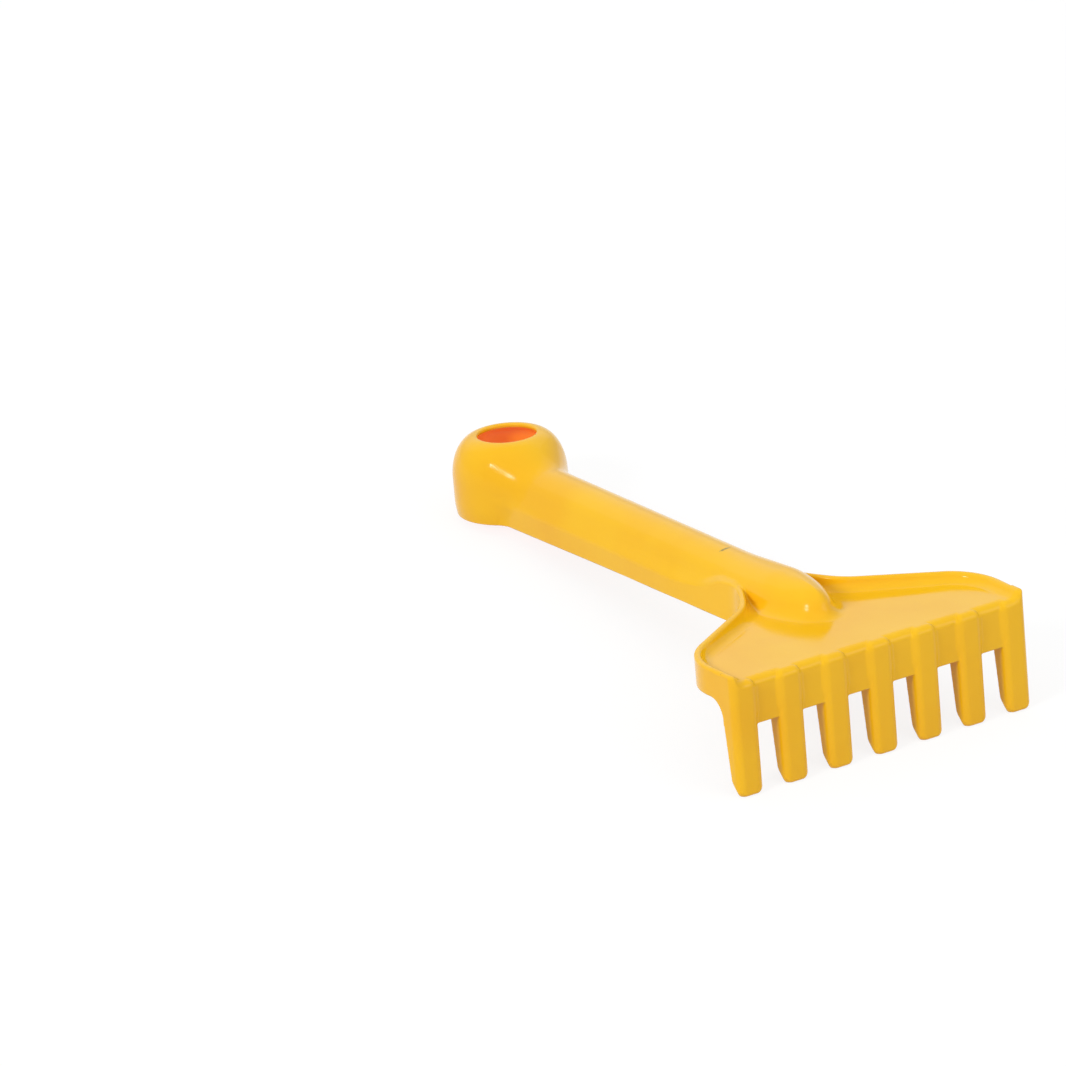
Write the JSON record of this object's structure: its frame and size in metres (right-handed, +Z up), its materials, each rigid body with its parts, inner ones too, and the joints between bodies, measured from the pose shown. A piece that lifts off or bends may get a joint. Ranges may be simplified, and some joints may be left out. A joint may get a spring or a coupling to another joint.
{
  "type": "sand rake",
  "caption": "Child's moulded sand rake: a row of square channel teeth under a flared, lipped head, a rounded hollow handle and a domed ring to hang it by.",
  "frame": {"origin": "on the floor under the middle of the rake's box, as it stands on its tooth tips and the far edge of its ring", "axes": "+X from the teeth to the ring, +Y to the left as the teeth are seen from the front, +Z up"},
  "size_m": [0.2494, 0.1174, 0.0446],
  "materials": {
    "moulding": "semi-gloss injection-moulded plastic"
  },
  "bodies": {
    "root": {"hang_ring": "moulding", "handle_crown": "moulding", "handle_skirt_left": "moulding", "handle_skirt_right": "moulding", "ridge": "moulding", "head_plate": "moulding", "rim_left": "moulding", "rim_right": "moulding", "front_wall_1": "moulding", "front_wall_2": "moulding", "front_wall_3": "moulding", "front_wall_4": "moulding", "front_wall_5": "moulding", "front_wall_6": "moulding", "tooth_1": "moulding", "tooth_2": "moulding", "tooth_3": "moulding", "tooth_4": "moulding", "tooth_5": "moulding", "tooth_6": "moulding", "tooth_7": "moulding"}
  },
  "joints": []
}
